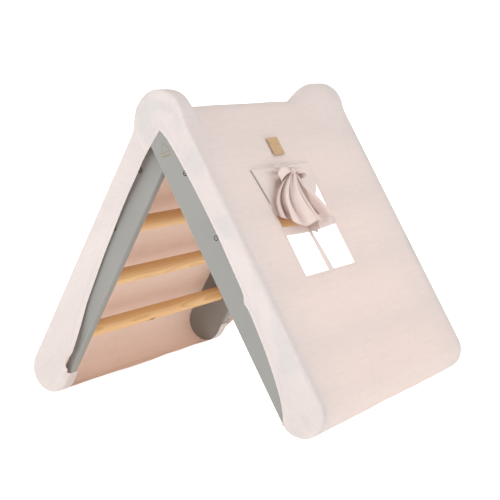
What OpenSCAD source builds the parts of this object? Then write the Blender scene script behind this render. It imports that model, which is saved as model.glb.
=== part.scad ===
// Folding climbing triangle with a fitted fabric tent cover.
// Two ladders turn on one hinge rung at the top. X is the spread of the ladders,
// Y runs along the rungs, Z is up, and the floor is Z = 0.
// The outer ladder leans to +X and carries the window side of the cover.
// Ladder outlines are drawn with X outwards and Z up along the ladder, from the hinge axis.

/* [Frame] */
// Width over the outer ladder's side boards
frame_w = 600; // [480:5:800]
// Lean of each ladder from upright, degrees
lean = 30; // [24:1:36]
// Width of a side board
board_w = 90; // [75:1:110]
// Thickness of a side board
board_t = 20; // [16:0.5:26]
// Radius of a side board's round head
head_r = 53; // [50:0.5:66]
// How far a board's centre line runs outside the hinge axis
board_shift = 4; // [2:0.5:6]

/* [Rungs] */
// Diameter of a rung
rung_d = 32; // [26:0.5:40]
// Distance along the board from the hinge axis to the first rung
rung_first = 112; // [110:1:140]
// Distance from rung to rung
rung_pitch = 130.7; // [105:0.1:160]
// Distance from the last rung to the centre of the round foot
foot_run = 83.7; // [65:0.1:100]
// Number of rungs on each ladder
rung_count = 4; // [3:1:5]
// Depth of the blind sockets that the rung ends sit in
socket_depth = 8; // [5:0.5:10]

/* [Hinge and screws] */
// Gap between the outer and the inner board at the hinge
hinge_gap = 1; // [0.8:0.1:2]
// Diameter of the hinge bolt's shank
bolt_d = 8; // [6:0.5:10]
// Radial running clearance of the hinge bolt in the outer board
bolt_clear = 0.05; // [0.02:0.01:0.1]
// Diameter of the hinge bolt's head
bolt_head_d = 15; // [13:0.5:18]
// Height of the hinge bolt's head
bolt_head_h = 4.6; // [3:0.1:5]
// Depth of the counterbore that hides the bolt's head
counterbore_depth = 6; // [5.5:0.1:7]
// How far the hinge bolt reaches into the hinge rung
bolt_reach = 32; // [20:1:45]
// Outer diameter of the threaded insert in the hinge rung
insert_d = 12; // [11:0.5:14]
// Length of the threaded insert
insert_l = 22; // [15:1:30]
// Outer diameter of the hinge spacer washer
washer_d = 24; // [18:1:30]
// Diameter of a rung screw's shank
screw_d = 5; // [4:0.5:6]
// Diameter of a rung screw's countersunk head
screw_head_d = 10; // [8:0.5:12]
// Height of a rung screw's head
screw_head_h = 3; // [2:0.25:4]
// How far a rung screw reaches into the rung
screw_reach = 40; // [25:1:50]
// Width across flats of the hexagon sockets in bolts and screws
hex_af = 4; // [3:0.5:5]

/* [Cover] */
// Thickness of the cover's cloth
cloth_t = 1; // [0.8:0.1:1.5]
// How far the weight presses the cloth flat under the feet
foot_press = 0.4; // [0.2:0.1:0.5]
// Width of the elastic hem
hem_w = 5; // [4:0.5:8]
// Thickness of the elastic hem
hem_t = 2; // [1.5:0.25:3]
// Free gap between cloth and what turns inside it
cloth_gap = 0.3; // [0.3:0.1:0.6]
// Distance down the slope over which the cloth rises from the ridge to the boards' plane
ridge_run = 75; // [60:5:110]

/* [Window] */
// Width of the window opening
window_w = 192; // [150:1:240]
// Height of the window opening, along the slope
window_h = 224; // [190:1:260]
// Distance from the hinge axis to the window's top edge, along the slope
window_top = 139; // [120:1:160]
// Middle of the window along the ridge
window_y = -52; // [-60:1:60]
// Width of the window bars
bar_w = 17; // [12:1:24]
// Distance from the window's top edge to the middle of the cross bar
cross_bar_drop = 132; // [110:1:150]

/* [Curtain and label] */
// Thickness of the gathered curtain
curtain_t = 9; // [6:0.5:14]
// Height of the curtain's gathered top, from the window's top edge to the tie
curtain_gather = 26; // [20:1:40]
// Length of the curtain's skirt below the tie
curtain_skirt = 88; // [70:1:100]
// Width of the curtain where the tie draws it in
curtain_waist = 26; // [18:1:40]
// Distance from the window's middle to the tie, along the ridge
tie_shift = 25; // [0:1:40]
// Diameter of the tie's knot
knot_d = 16; // [12:1:22]
// Length of each loop of the bow
bow_loop = 40; // [25:1:50]
// Width of a loop of the bow
bow_w = 14; // [10:1:20]
// Thickness of the tie
tie_t = 6; // [4:0.5:9]
// Side of the square leather label
label_w = 38; // [30:1:50]
// Thickness of the leather label
label_t = 1.2; // [0.8:0.1:2]
// Distance from the hinge axis to the label's middle, along the slope
label_drop = 99; // [88:1:110]
// Middle of the label along the ridge
label_y = -45; // [-60:1:60]

/* [Hidden] */
$fn = 96;
// Distance along a board from the hinge axis to the centre of its foot
foot_at = rung_first + (rung_count - 1) * rung_pitch + foot_run;
board_r = board_w / 2;
rung_r = rung_d / 2;
// Faces of the boards, counted outwards from the middle of the frame
outer_face = frame_w / 2;
outer_back = outer_face - board_t;
inner_face = outer_back - hinge_gap;
inner_back = inner_face - board_t;
// Height of the hinge axis, so that the pressed cloth under the feet is on the floor
hinge_z = foot_at * cos(lean) - board_shift * sin(lean) + board_r + cloth_t - foot_press;
// Plane of a ladder's cloth: its lower and its upper surface
plane_lo = board_shift + board_r;
plane_hi = plane_lo + cloth_t;
// Radii of the cloth over a round head and over the hinge rung
cap_lo = head_r + cloth_gap;
cap_hi = cap_lo + cloth_t;
ridge_lo = rung_r + cloth_gap;
ridge_hi = ridge_lo + cloth_t;
// Angle, either side of a ladder's normal, over which the head stands proud of the plane
proud = acos(plane_hi / cap_hi);
// Half length of the cloth between the two heads
mid_half = inner_back - 2 * cloth_t;
// Where the head cap ends and the flat cloth starts, along the slope
cap_end = cap_hi * sin(proud);
// How far round a foot the cloth panel wraps past the floor, and then from the ladder's normal
wrap_past = 15;
wrap = 90 + lean + wrap_past;
// Gap and angle left free at the head for the inner panel, which turns inside the cap
turn_gap = 4;
turn_angle = 5;
// Shares of a head's height taken by the hexagon sockets
screw_socket = 0.7;
bolt_socket = 0.6;
// Thickness of the hinge washers, a little under the gap they fill
washer_t = hinge_gap * 0.8;
// Thickness of the bow's loops, a little under the knot's
loop_t = tie_t * 0.8;
// How far the curtain hangs straight before the tie draws it in
curtain_hang = 6;
// Room that a cutting shape takes beyond what it cuts
over = 1;
big = 4 * foot_at;
// The inner ladder's side band starts here, clear of the outer board when folded
band_start = 90;
// Hem lines: distance along the board, and offset from the board's centre line
hem_outer = [[18, -10], [88, 1], [208, 5], [365, -2], [478, -12], [550, -26], [592, -42]];
hem_inner = [[band_start, 1], [208, 3], [335, -9], [448, -21], [520, -26], [556, -27]];
pine = [0.87, 0.69, 0.46];
paint = [0.63, 0.63, 0.61];
steel = [0.75, 0.75, 0.76];
cloth = [0.94, 0.88, 0.85];
tan = [0.80, 0.68, 0.49];

// --- Frames of reference -------------------------------------------------

// Puts a shape drawn from the hinge axis onto the outer (+1) or the inner (-1) ladder
module on_ladder(side) {
    translate([0, 0, hinge_z])
        mirror([side < 0 ? 1 : 0, 0, 0])
            rotate([0, -lean, 0])
                children();
}

// Extrudes an X-Z outline from y0 to y1
module along_y(y0, y1) {
    translate([0, y1, 0])
        rotate([90, 0, 0])
            linear_extrude(height = y1 - y0)
                children();
}

// The same slab on the near side, or mirrored onto the far side
module slab(end, y_in, y_out) {
    if (end == "near") {
        along_y(-y_out, -y_in) children();
    } else {
        along_y(y_in, y_out) children();
    }
}

// A shape drawn from the middle outwards along +Y, turned to the near or the far end
module at_end(end) {
    mirror([0, end == "near" ? 1 : 0, 0]) children();
}

// --- Outlines ------------------------------------------------------------

// A board's outline, grown by extra; the head takes its own radius
module board_outline(extra, top_r) {
    circle(r = top_r);
    translate([board_shift - board_r - extra, -foot_at])
        square([board_w + 2 * extra, foot_at]);
    translate([board_shift, -foot_at])
        circle(r = board_r + extra);
}

// A wedge from the origin between two angles, counted from X towards Z, under 180 degrees
module wedge(from, to) {
    middle = (from + to) / 2;
    polygon([
        [0, 0],
        [big * cos(from), big * sin(from)],
        [big * cos(middle), big * sin(middle)],
        [big * cos(to), big * sin(to)]
    ]);
}

module ring(r_in, r_out) {
    difference() {
        circle(r = r_out);
        circle(r = r_in);
    }
}

// --- Frame ---------------------------------------------------------------

// A side board: round head and foot, blind rung sockets on its inner face, screw holes
module board(side, end, face, back, hinge_hole_d, sunk) {
    color(paint)
    difference() {
        on_ladder(side) slab(end, back, face) board_outline(0, head_r);
        on_ladder(side) at_end(end)
            for (i = [0 : rung_count - 1])
                translate([board_shift, 0, -rung_first - i * rung_pitch])
                    rotate([-90, 0, 0]) {
                        translate([0, 0, back - over])
                            cylinder(d = rung_d, h = socket_depth + over);
                        translate([0, 0, back])
                            cylinder(d = screw_d, h = board_t + over);
                        translate([0, 0, face - screw_head_h])
                            cylinder(d1 = screw_d, d2 = screw_head_d, h = screw_head_h);
                    }
        translate([0, 0, hinge_z]) at_end(end) rotate([-90, 0, 0]) {
            translate([0, 0, back - over])
                cylinder(d = hinge_hole_d, h = board_t + 2 * over);
            if (sunk)
                translate([0, 0, face - counterbore_depth])
                    cylinder(d = bolt_head_d + 2 * over, h = counterbore_depth + over);
            if (!sunk)
                translate([0, 0, back - over])
                    cylinder(d = rung_d, h = socket_depth + over);
        }
    }
}

module outer_board(end) {
    board(1, end, outer_face, outer_back, bolt_d + 2 * bolt_clear, true);
}

module inner_board(end) {
    board(-1, end, inner_face, inner_back, bolt_d, false);
}

// A rung with a pilot hole in each end
module rung_bar(half_length, hole_d, hole_depth) {
    color(pine)
    rotate([-90, 0, 0])
        difference() {
            translate([0, 0, -half_length])
                cylinder(d = rung_d, h = 2 * half_length);
            translate([0, 0, half_length - hole_depth])
                cylinder(d = hole_d, h = hole_depth + over);
            translate([0, 0, -half_length - over])
                cylinder(d = hole_d, h = hole_depth + over);
        }
}

module rung(side, back, i) {
    on_ladder(side)
        translate([board_shift, 0, -rung_first - (i - 1) * rung_pitch])
            rung_bar(back + socket_depth, screw_d, screw_reach);
}

// Countersunk rung screw, head at the board's outer face, drawn along +Z
module screw(face, back) {
    tip = back + socket_depth - screw_reach;
    difference() {
        union() {
            translate([0, 0, tip])
                cylinder(d = screw_d, h = face - tip);
            translate([0, 0, face - screw_head_h])
                cylinder(d1 = screw_d, d2 = screw_head_d, h = screw_head_h);
        }
        translate([0, 0, face - screw_head_h * screw_socket])
            cylinder(d = hex_af / cos(30), h = screw_head_h, $fn = 6);
    }
}

module screws(side, end, face, back) {
    color(steel)
    on_ladder(side) at_end(end)
        for (i = [0 : rung_count - 1])
            translate([board_shift, 0, -rung_first - i * rung_pitch])
                rotate([-90, 0, 0]) screw(face, back);
}

// --- Hinge ---------------------------------------------------------------

module on_hinge(end) {
    translate([0, 0, hinge_z]) at_end(end) rotate([-90, 0, 0]) children();
}

// The rung that the ladders turn on; each end holds a threaded insert
module hinge_rung() {
    end_at = inner_back + socket_depth;
    color(pine)
    difference() {
        on_hinge("far")
            translate([0, 0, -end_at]) cylinder(d = rung_d, h = 2 * end_at);
        for (end = ["near", "far"])
            on_hinge(end) {
                translate([0, 0, end_at - bolt_reach]) cylinder(d = bolt_d, h = bolt_reach + over);
                translate([0, 0, end_at - insert_l]) cylinder(d = insert_d, h = insert_l + over);
            }
    }
}

module hinge_inserts() {
    end_at = inner_back + socket_depth;
    color(steel)
    for (end = ["near", "far"])
        on_hinge(end)
            translate([0, 0, end_at - insert_l])
                difference() {
                    cylinder(d = insert_d, h = insert_l);
                    translate([0, 0, -over]) cylinder(d = bolt_d, h = insert_l + 2 * over);
                }
}

module hinge_washers() {
    color(steel)
    for (end = ["near", "far"])
        on_hinge(end)
            translate([0, 0, inner_face])
                difference() {
                    cylinder(d = washer_d, h = washer_t);
                    translate([0, 0, -over]) cylinder(d = bolt_d, h = washer_t + 2 * over);
                }
}

// Hinge bolt with a hexagon socket; its head sits in the outer board's counterbore
module hinge_bolt(end) {
    tip = inner_back + socket_depth - bolt_reach;
    seat = outer_face - counterbore_depth + cloth_gap;
    color(steel)
    on_hinge(end)
        difference() {
            union() {
                translate([0, 0, tip]) cylinder(d = bolt_d, h = seat - tip);
                translate([0, 0, seat]) cylinder(d = bolt_head_d, h = bolt_head_h);
            }
            translate([0, 0, seat + bolt_head_h * (1 - bolt_socket)])
                cylinder(d = hex_af / cos(30), h = bolt_head_h, $fn = 6);
        }
}

// --- Cover ---------------------------------------------------------------

// Everything under the floor is cut away, which presses the cloth flat under the feet
module above_floor() {
    difference() {
        children();
        translate([-big, -big, -2 * over]) cube([2 * big, 2 * big, 2 * over]);
    }
}

// The cloth's section between the heads: from the hinge rung out to the boards' plane
module mid_section(start, lift) {
    polygon([
        [ridge_lo + lift, -start],
        [plane_lo + lift, -ridge_run],
        [plane_lo + lift, -foot_at],
        [-big, -foot_at],
        [-big, -start]
    ]);
}

module panel_wrap() {
    translate([board_shift, -foot_at])
        intersection() {
            ring(board_r, board_r + cloth_t);
            wedge(-wrap, 0);
        }
}

// One sloping panel: flat over the boards, drawn down to the hinge rung between the heads,
// wrapped round the feet at the bottom
module panel(side, half_w, flat_start, mid_start, wall_turn) {
    on_ladder(side) {
        along_y(-half_w + cloth_t, half_w - cloth_t) panel_wrap();
        along_y(-half_w, half_w)
            translate([plane_lo, -foot_at])
                square([cloth_t, foot_at - ridge_run]);
        along_y(-mid_half, mid_half)
            difference() {
                mid_section(mid_start, cloth_t);
                mid_section(mid_start - over, 0);
            }
        for (end = ["near", "far"]) {
            slab(end, mid_half, half_w)
                translate([plane_lo, -ridge_run - over])
                    square([cloth_t, ridge_run + over - flat_start]);
            slab(end, mid_half, mid_half + cloth_t)
                difference() {
                    translate([0, -ridge_run - over])
                        square([plane_hi, ridge_run + over - flat_start]);
                    mid_section(-big, 0);
                    wedge(-wall_turn, 90);
                }
        }
    }
}

module window_hole() {
    on_ladder(1)
        translate([plane_lo - over, window_y - window_w / 2, -window_top - window_h])
            cube([cloth_t + 2 * over, window_w, window_h]);
}

module cover_panel_outer() {
    color(cloth)
    above_floor()
        difference() {
            panel(1, outer_face + cloth_t, cap_end, 0, proud);
            window_hole();
        }
}

module cover_panel_inner() {
    color(cloth)
    above_floor()
        panel(-1, inner_face + cloth_t, cap_end + turn_gap, over, proud + turn_angle);
}

// The cloth over the hinge rung, between the heads
module cover_ridge() {
    color(cloth)
    translate([0, 0, hinge_z])
        along_y(-mid_half, mid_half)
            intersection() {
                ring(ridge_lo, ridge_hi);
                wedge(lean, 180 - lean);
            }
}

// The cloth cap over both boards' round heads at one end
module cover_head(end) {
    color(cloth)
    translate([0, 0, hinge_z]) {
        slab(end, mid_half + cloth_t, outer_face)
            intersection() {
                ring(cap_lo, cap_hi);
                wedge(lean - proud, 180 - lean + proud);
            }
        slab(end, mid_half, mid_half + cloth_t)
            intersection() {
                ring(ridge_lo, cap_hi);
                wedge(lean - proud, 180 - lean + proud);
            }
    }
}

// The area outside a hem line, moved outwards by shift, with the whole foot below it
module hem_area(line, shift, top) {
    last = line[len(line) - 1];
    polygon(concat(
        [[-big, -last[0] - shift], [board_shift + last[1] + shift, -last[0] - shift]],
        [for (i = [len(line) - 1 : -1 : 0]) [board_shift + line[i][1] + shift, -line[i][0]]],
        [[board_shift + line[0][1] + shift, top], [big, top], [big, -big], [-big, -big]]
    ));
}

// A band of cloth on a board's outer face, with the pocket round its foot
module band(side, end, face, back, line, top) {
    color(cloth)
    above_floor()
        on_ladder(side) {
            slab(end, face, face + cloth_t)
                intersection() {
                    board_outline(cloth_t, top > 0 ? cap_hi : over);
                    hem_area(line, hem_w, top);
                    translate([-big, -big]) square([big + plane_lo, big + top]);
                }
            slab(end, back, face)
                translate([board_shift, -foot_at])
                    intersection() {
                        ring(board_r, board_r + cloth_t);
                        wedge(-180, -wrap);
                    }
        }
}

// The elastic hem along a band's free edge
module hem(side, end, face, line, top) {
    color(cloth)
    above_floor()
        on_ladder(side)
            slab(end, face, face + hem_t)
                intersection() {
                    board_outline(cloth_t, top > 0 ? cap_hi : over);
                    difference() {
                        hem_area(line, 0, top);
                        hem_area(line, hem_w, top + over);
                    }
                }
}

// --- Window, curtain and label --------------------------------------------

module on_panel(drop, y, lift) {
    on_ladder(1) translate([plane_hi + lift, y, -drop]) children();
}

module window_bar_upright() {
    color(cloth)
    on_panel(window_top + window_h, window_y - bar_w / 2, -cloth_t)
        cube([cloth_t, bar_w, window_h]);
}

module window_bar_cross() {
    color(cloth)
    on_panel(window_top + cross_bar_drop + bar_w / 2, window_y - window_w / 2, 0)
        cube([cloth_t, window_w, bar_w]);
}

// A curtain gathered from the window's top edge into the tie and flaring below it
module curtain() {
    waist_y = window_y + tie_shift;
    top_half = window_w / 2;
    skirt_end = curtain_gather + curtain_skirt;
    color(cloth)
    on_ladder(1)
        translate([plane_hi + cloth_t, 0, -window_top])
            rotate([90, 0, 90])
                linear_extrude(height = curtain_t)
                    polygon([
                        [window_y - top_half, 0],
                        [window_y - top_half, -curtain_hang],
                        [waist_y - curtain_waist / 2, -curtain_gather],
                        [window_y - top_half, -skirt_end],
                        [window_y + top_half, -skirt_end],
                        [waist_y + curtain_waist / 2, -curtain_gather],
                        [window_y + top_half, -curtain_hang],
                        [window_y + top_half, 0]
                    ]);
}

// The ribbon bow that ties the curtain: a knot and two loops lying on it
module curtain_tie() {
    color(cloth)
    on_panel(window_top + curtain_gather, window_y + tie_shift, cloth_t + curtain_t)
        rotate([0, 90, 0]) {
            cylinder(d = knot_d, h = tie_t);
            for (turn = [-1, 1])
                translate([0, turn * bow_loop / 2, 0])
                    translate([-bow_w / 2, -bow_loop / 2, 0])
                        cube([bow_w, bow_loop, loop_t]);
        }
}

module leather_label() {
    color(tan)
    on_panel(label_drop + label_w / 2, label_y - label_w / 2, 0)
        cube([label_t, label_w, label_w]);
}

// --- Output --------------------------------------------------------------

outer_board("near");  // outer_board_near
outer_board("far");  // outer_board_far
inner_board("near");  // inner_board_near
inner_board("far");  // inner_board_far
for (i = [1 : rung_count]) {
    rung(1, outer_back, i);
    rung(-1, inner_back, i);
}
hinge_rung();
hinge_bolt("near");  // hinge_bolt_near
hinge_bolt("far");  // hinge_bolt_far
hinge_inserts();
hinge_washers();
screws(1, "near", outer_face, outer_back);  // outer_screws_near
screws(1, "far", outer_face, outer_back);  // outer_screws_far
screws(-1, "near", inner_face, inner_back);  // inner_screws_near
screws(-1, "far", inner_face, inner_back);  // inner_screws_far
cover_panel_outer();
cover_panel_inner();
cover_ridge();
cover_head("near");  // cover_head_near
cover_head("far");  // cover_head_far
band(1, "near", outer_face, outer_back, hem_outer, cap_hi);  // cover_band_outer_near
band(1, "far", outer_face, outer_back, hem_outer, cap_hi);  // cover_band_outer_far
band(-1, "near", inner_face, inner_back, hem_inner, -band_start);  // cover_band_inner_near
band(-1, "far", inner_face, inner_back, hem_inner, -band_start);  // cover_band_inner_far
hem(1, "near", outer_face, hem_outer, cap_hi);  // hem_outer_near
hem(1, "far", outer_face, hem_outer, cap_hi);  // hem_outer_far
hem(-1, "near", inner_face, hem_inner, -band_start);  // hem_inner_near
hem(-1, "far", inner_face, hem_inner, -band_start);  // hem_inner_far
window_bar_upright();
window_bar_cross();
curtain();
curtain_tie();
leather_label();
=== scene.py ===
import math

import bpy
import numpy as np
from mathutils import Matrix, Vector, noise
from mathutils.bvhtree import BVHTree


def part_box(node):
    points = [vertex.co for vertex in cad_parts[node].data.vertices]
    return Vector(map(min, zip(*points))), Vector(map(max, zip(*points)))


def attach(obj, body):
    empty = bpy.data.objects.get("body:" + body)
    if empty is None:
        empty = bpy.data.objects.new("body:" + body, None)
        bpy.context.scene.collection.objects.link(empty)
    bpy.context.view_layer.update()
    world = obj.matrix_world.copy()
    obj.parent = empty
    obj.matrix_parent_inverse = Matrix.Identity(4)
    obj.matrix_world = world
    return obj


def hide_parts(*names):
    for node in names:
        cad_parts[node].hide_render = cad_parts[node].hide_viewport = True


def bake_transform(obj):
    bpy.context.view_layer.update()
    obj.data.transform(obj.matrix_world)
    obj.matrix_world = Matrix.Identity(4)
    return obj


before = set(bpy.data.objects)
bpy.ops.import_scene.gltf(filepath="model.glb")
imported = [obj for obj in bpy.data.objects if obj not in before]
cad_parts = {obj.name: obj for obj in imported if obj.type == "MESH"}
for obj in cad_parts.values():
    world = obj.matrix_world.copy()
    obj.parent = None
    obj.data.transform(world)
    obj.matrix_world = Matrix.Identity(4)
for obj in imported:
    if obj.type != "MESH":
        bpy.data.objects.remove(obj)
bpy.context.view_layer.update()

MM = 0.001

# ---------------------------------------------------------------- camera and stage

CAMERA_PLACE = (1.3553, -2.0882, 0.6487)
CAMERA_RIGHT = (0.84003, 0.54244, -0.01018)
CAMERA_UP = (-0.07224, 0.13044, 0.98882)
CAMERA_BACK = (0.53771, -0.82990, 0.14876)
CAMERA_LENS = 88.36
CAMERA_SENSOR = 36.0


def set_up_camera():
    """The camera stands in front of the near gable and a little to its right."""
    for name in ("Camera", "Light", "Cube"):
        if name in bpy.data.objects:
            bpy.data.objects.remove(bpy.data.objects[name])
    data = bpy.data.cameras.new("camera")
    data.sensor_width = CAMERA_SENSOR
    data.lens = CAMERA_LENS
    data.clip_end = 50.0
    camera = bpy.data.objects.new("camera", data)
    bpy.context.scene.collection.objects.link(camera)
    turn = Matrix((CAMERA_RIGHT, CAMERA_UP, CAMERA_BACK)).transposed()
    camera.matrix_world = Matrix.Translation(CAMERA_PLACE) @ turn.to_4x4()
    bpy.context.scene.camera = camera


def area_light(name, place, aim, size, power, colour):
    data = bpy.data.lights.new(name, "AREA")
    data.shape = "DISK"
    data.size = size
    data.energy = power
    data.color = colour
    lamp = bpy.data.objects.new(name, data)
    bpy.context.scene.collection.objects.link(lamp)
    lamp.location = place
    lamp.rotation_mode = "QUATERNION"
    lamp.rotation_quaternion = (Vector(aim) - Vector(place)).to_track_quat("-Z", "Y")


def set_up_stage():
    """A pale floor, an even white room and one broad soft lamp."""
    scene = bpy.context.scene
    scene.view_settings.view_transform = "Standard"
    world = bpy.data.worlds.new("studio")
    scene.world = world
    world.use_nodes = True
    back = world.node_tree.nodes["Background"]
    back.inputs["Color"].default_value = (1.0, 1.0, 1.0, 1.0)
    back.inputs["Strength"].default_value = 1.12
    bpy.ops.mesh.primitive_plane_add(size=40.0, location=(0.0, 0.0, 0.0))
    floor = bpy.context.object
    floor.name = "floor"
    paper = bpy.data.materials.new("studio_paper")
    paper.use_nodes = True
    shader = paper.node_tree.nodes["Principled BSDF"]
    shader.inputs["Base Color"].default_value = (0.60, 0.60, 0.60, 1.0)
    shader.inputs["Roughness"].default_value = 0.9
    shader.inputs["Specular IOR Level"].default_value = 0.1
    shader.inputs["Emission Color"].default_value = (1.0, 1.0, 1.0, 1.0)
    shader.inputs["Emission Strength"].default_value = 0.78
    floor.data.materials.append(paper)
    area_light("front_lamp", (0.1, -3.5, 1.1), (0.0, 0.0, 0.25), 1.4, 24.0, (1.0, 0.99, 0.985))


bpy.ops.object.select_all(action="DESELECT")
set_up_camera()
set_up_stage()

# ---------------------------------------------------------------- measures taken from the frame


def middle(node):
    low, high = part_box(node)
    return (low + high) / 2


def thousand(vector):
    """A place in metres as millimetres."""
    return np.array(vector, float) * 1000.0


HINGE_Z = thousand(middle("hinge_rung"))[2]
first_rung = thousand(middle("outer_rung_1"))
last_rung = thousand(middle("outer_rung_4"))
slope = last_rung - first_rung
LEAN = math.atan2(slope[0], -slope[2])
SIN, COS = math.sin(LEAN), math.cos(LEAN)
PITCH = np.linalg.norm(slope) / 3
FIRST = first_rung[0] * SIN + (HINGE_Z - first_rung[2]) * COS
SHIFT = first_rung[0] * COS + (first_rung[2] - HINGE_Z) * SIN
OUTER_FACE = -thousand(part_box("outer_board_near")[0])[1]
OUTER_BACK = -thousand(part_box("outer_board_near")[1])[1]
INNER_FACE = -thousand(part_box("inner_board_near")[0])[1]
BOARD_R = 45.0
HEAD_R = thousand(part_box("outer_board_near")[1])[2] - HINGE_Z
CLOTH = 1.0
FOOT_R = BOARD_R + CLOTH
PLANE = SHIFT + FOOT_R
FOOT_AT = FIRST + 3 * PITCH + 83.7


def on_ladder(side, u, y, v):
    """A place on a ladder, u down the boards and v outwards, as X, Y, Z."""
    x = side * (u * SIN + v * COS)
    z = HINGE_Z - u * COS + v * SIN
    return np.stack(np.broadcast_arrays(x, y, z), axis=-1)


def ease(t):
    t = np.clip(t, 0.0, 1.0)
    return t * t * (3.0 - 2.0 * t)


def soft_max(a, b, width):
    return 0.5 * (a + b + np.sqrt((a - b) ** 2 + width * width))


def along(points):
    """Distance along a polyline at each of its points."""
    steps = np.linalg.norm(np.diff(points, axis=0), axis=1)
    return np.concatenate([[0.0], np.cumsum(steps)])


def resample(points, stations):
    """Points of a polyline at these distances along it."""
    points = np.asarray(points, float)
    run = along(points)
    return np.stack([np.interp(stations, run, points[:, k]) for k in range(points.shape[1])], axis=1)


def fair(points, count):
    """A smooth curve through given points, as count points evenly spaced."""
    points = np.asarray(points, float)
    padded = np.vstack([2 * points[0] - points[1], points, 2 * points[-1] - points[-2]])
    dense = []
    for i in range(1, len(padded) - 2):
        a, b, c, d = padded[i - 1:i + 3]
        for t in np.linspace(0.0, 1.0, 24, endpoint=False):
            dense.append(0.5 * (2 * b + (c - a) * t + (2 * a - 5 * b + 4 * c - d) * t ** 2
                                + (3 * b - a - 3 * c + d) * t ** 3))
    dense.append(padded[-2])
    dense = np.array(dense)
    return resample(dense, np.linspace(0.0, along(dense)[-1], count))


def ripple(places, size, seed):
    """Smooth unevenness between about -1 and 1 at each place, bumps about size across."""
    out = np.empty(len(places))
    for i, p in enumerate(places):
        out[i] = noise.noise(Vector((p[0] / size + seed, p[1] / size - seed, p[2] / size + 2 * seed)))
    return 2.0 * out


# ---------------------------------------------------------------- meshes and finishing


def only(obj):
    bpy.ops.object.select_all(action="DESELECT")
    obj.select_set(True)
    bpy.context.view_layer.objects.active = obj


def mesh_piece(name, places, faces, uvs=None):
    """A new piece from places in millimetres; uvs are one pair per place, in millimetres too."""
    mesh = bpy.data.meshes.new(name)
    mesh.from_pydata([tuple(p * MM) for p in np.asarray(places, float)], [], [tuple(f) for f in faces])
    if uvs is not None:
        layer = mesh.uv_layers.new(name="cloth")
        flat = np.empty(len(mesh.loops), np.int64)
        mesh.loops.foreach_get("vertex_index", flat)
        layer.data.foreach_set("uv", (np.asarray(uvs, float)[flat] * MM).astype(np.float32).ravel())
    mesh.validate()
    mesh.update()
    piece = bpy.data.objects.new(name, mesh)
    bpy.context.scene.collection.objects.link(piece)
    for poly in mesh.polygons:
        poly.use_smooth = True
    return piece


def drop_loose(piece):
    """Removes points that no face uses."""
    only(piece)
    bpy.ops.object.mode_set(mode="EDIT")
    bpy.ops.mesh.select_all(action="SELECT")
    bpy.ops.mesh.delete_loose()
    bpy.ops.object.mode_set(mode="OBJECT")


def apply_modifier(piece, kind, **settings):
    modifier = piece.modifiers.new(kind.lower(), kind)
    for key, value in settings.items():
        setattr(modifier, key, value)
    only(piece)
    bpy.ops.object.modifier_apply(modifier=modifier.name)


def outwards(piece):
    only(piece)
    bpy.ops.object.mode_set(mode="EDIT")
    bpy.ops.mesh.select_all(action="SELECT")
    bpy.ops.mesh.normals_make_consistent(inside=False)
    bpy.ops.object.mode_set(mode="OBJECT")


def crisp_edges(piece):
    """Shades the cloth smooth but keeps its cut edges crisp."""
    only(piece)
    bpy.ops.object.shade_smooth_by_angle(angle=math.radians(50))


def finish_piece(piece, body, material, nodes=()):
    piece.data.materials.clear()
    piece.data.materials.append(material)
    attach(piece, body)
    if nodes:
        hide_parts(*nodes)
    return piece


def grid_faces(rows, columns, keep=None):
    """Quads of a grid of places, row by row; keep(row, column) says which stay."""
    faces = []
    for i in range(rows - 1):
        for j in range(columns - 1):
            if keep is None or keep(i, j):
                a = i * columns + j
                faces.append((a, a + 1, a + columns + 1, a + columns))
    return faces


def tube_along(name, path, sideways, normals, width, thick, sides=8):
    """A flattened roll of cloth along a path; sideways and normals give its width and thickness."""
    path = np.asarray(path, float)
    count = len(path)
    width = np.broadcast_to(width, count)
    thick = np.broadcast_to(thick, count)
    angles = np.linspace(0.0, 2 * math.pi, sides, endpoint=False)
    places = []
    for i in range(count):
        for a in angles:
            places.append(path[i] + sideways[i] * math.cos(a) * width[i] / 2
                          + normals[i] * math.sin(a) * thick[i] / 2)
    faces = []
    for i in range(count - 1):
        for k in range(sides):
            a, b = i * sides + k, i * sides + (k + 1) % sides
            faces.append((a, b, b + sides, a + sides))
    faces.append(tuple(range(sides))[::-1])
    faces.append(tuple((count - 1) * sides + k for k in range(sides)))
    run = along(path)
    uvs = [(run[i // sides], width[i // sides] * (i % sides) / sides * 2) for i in range(count * sides)]
    piece = mesh_piece(name, places, faces, uvs)
    outwards(piece)
    return piece


# ---------------------------------------------------------------- materials


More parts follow.
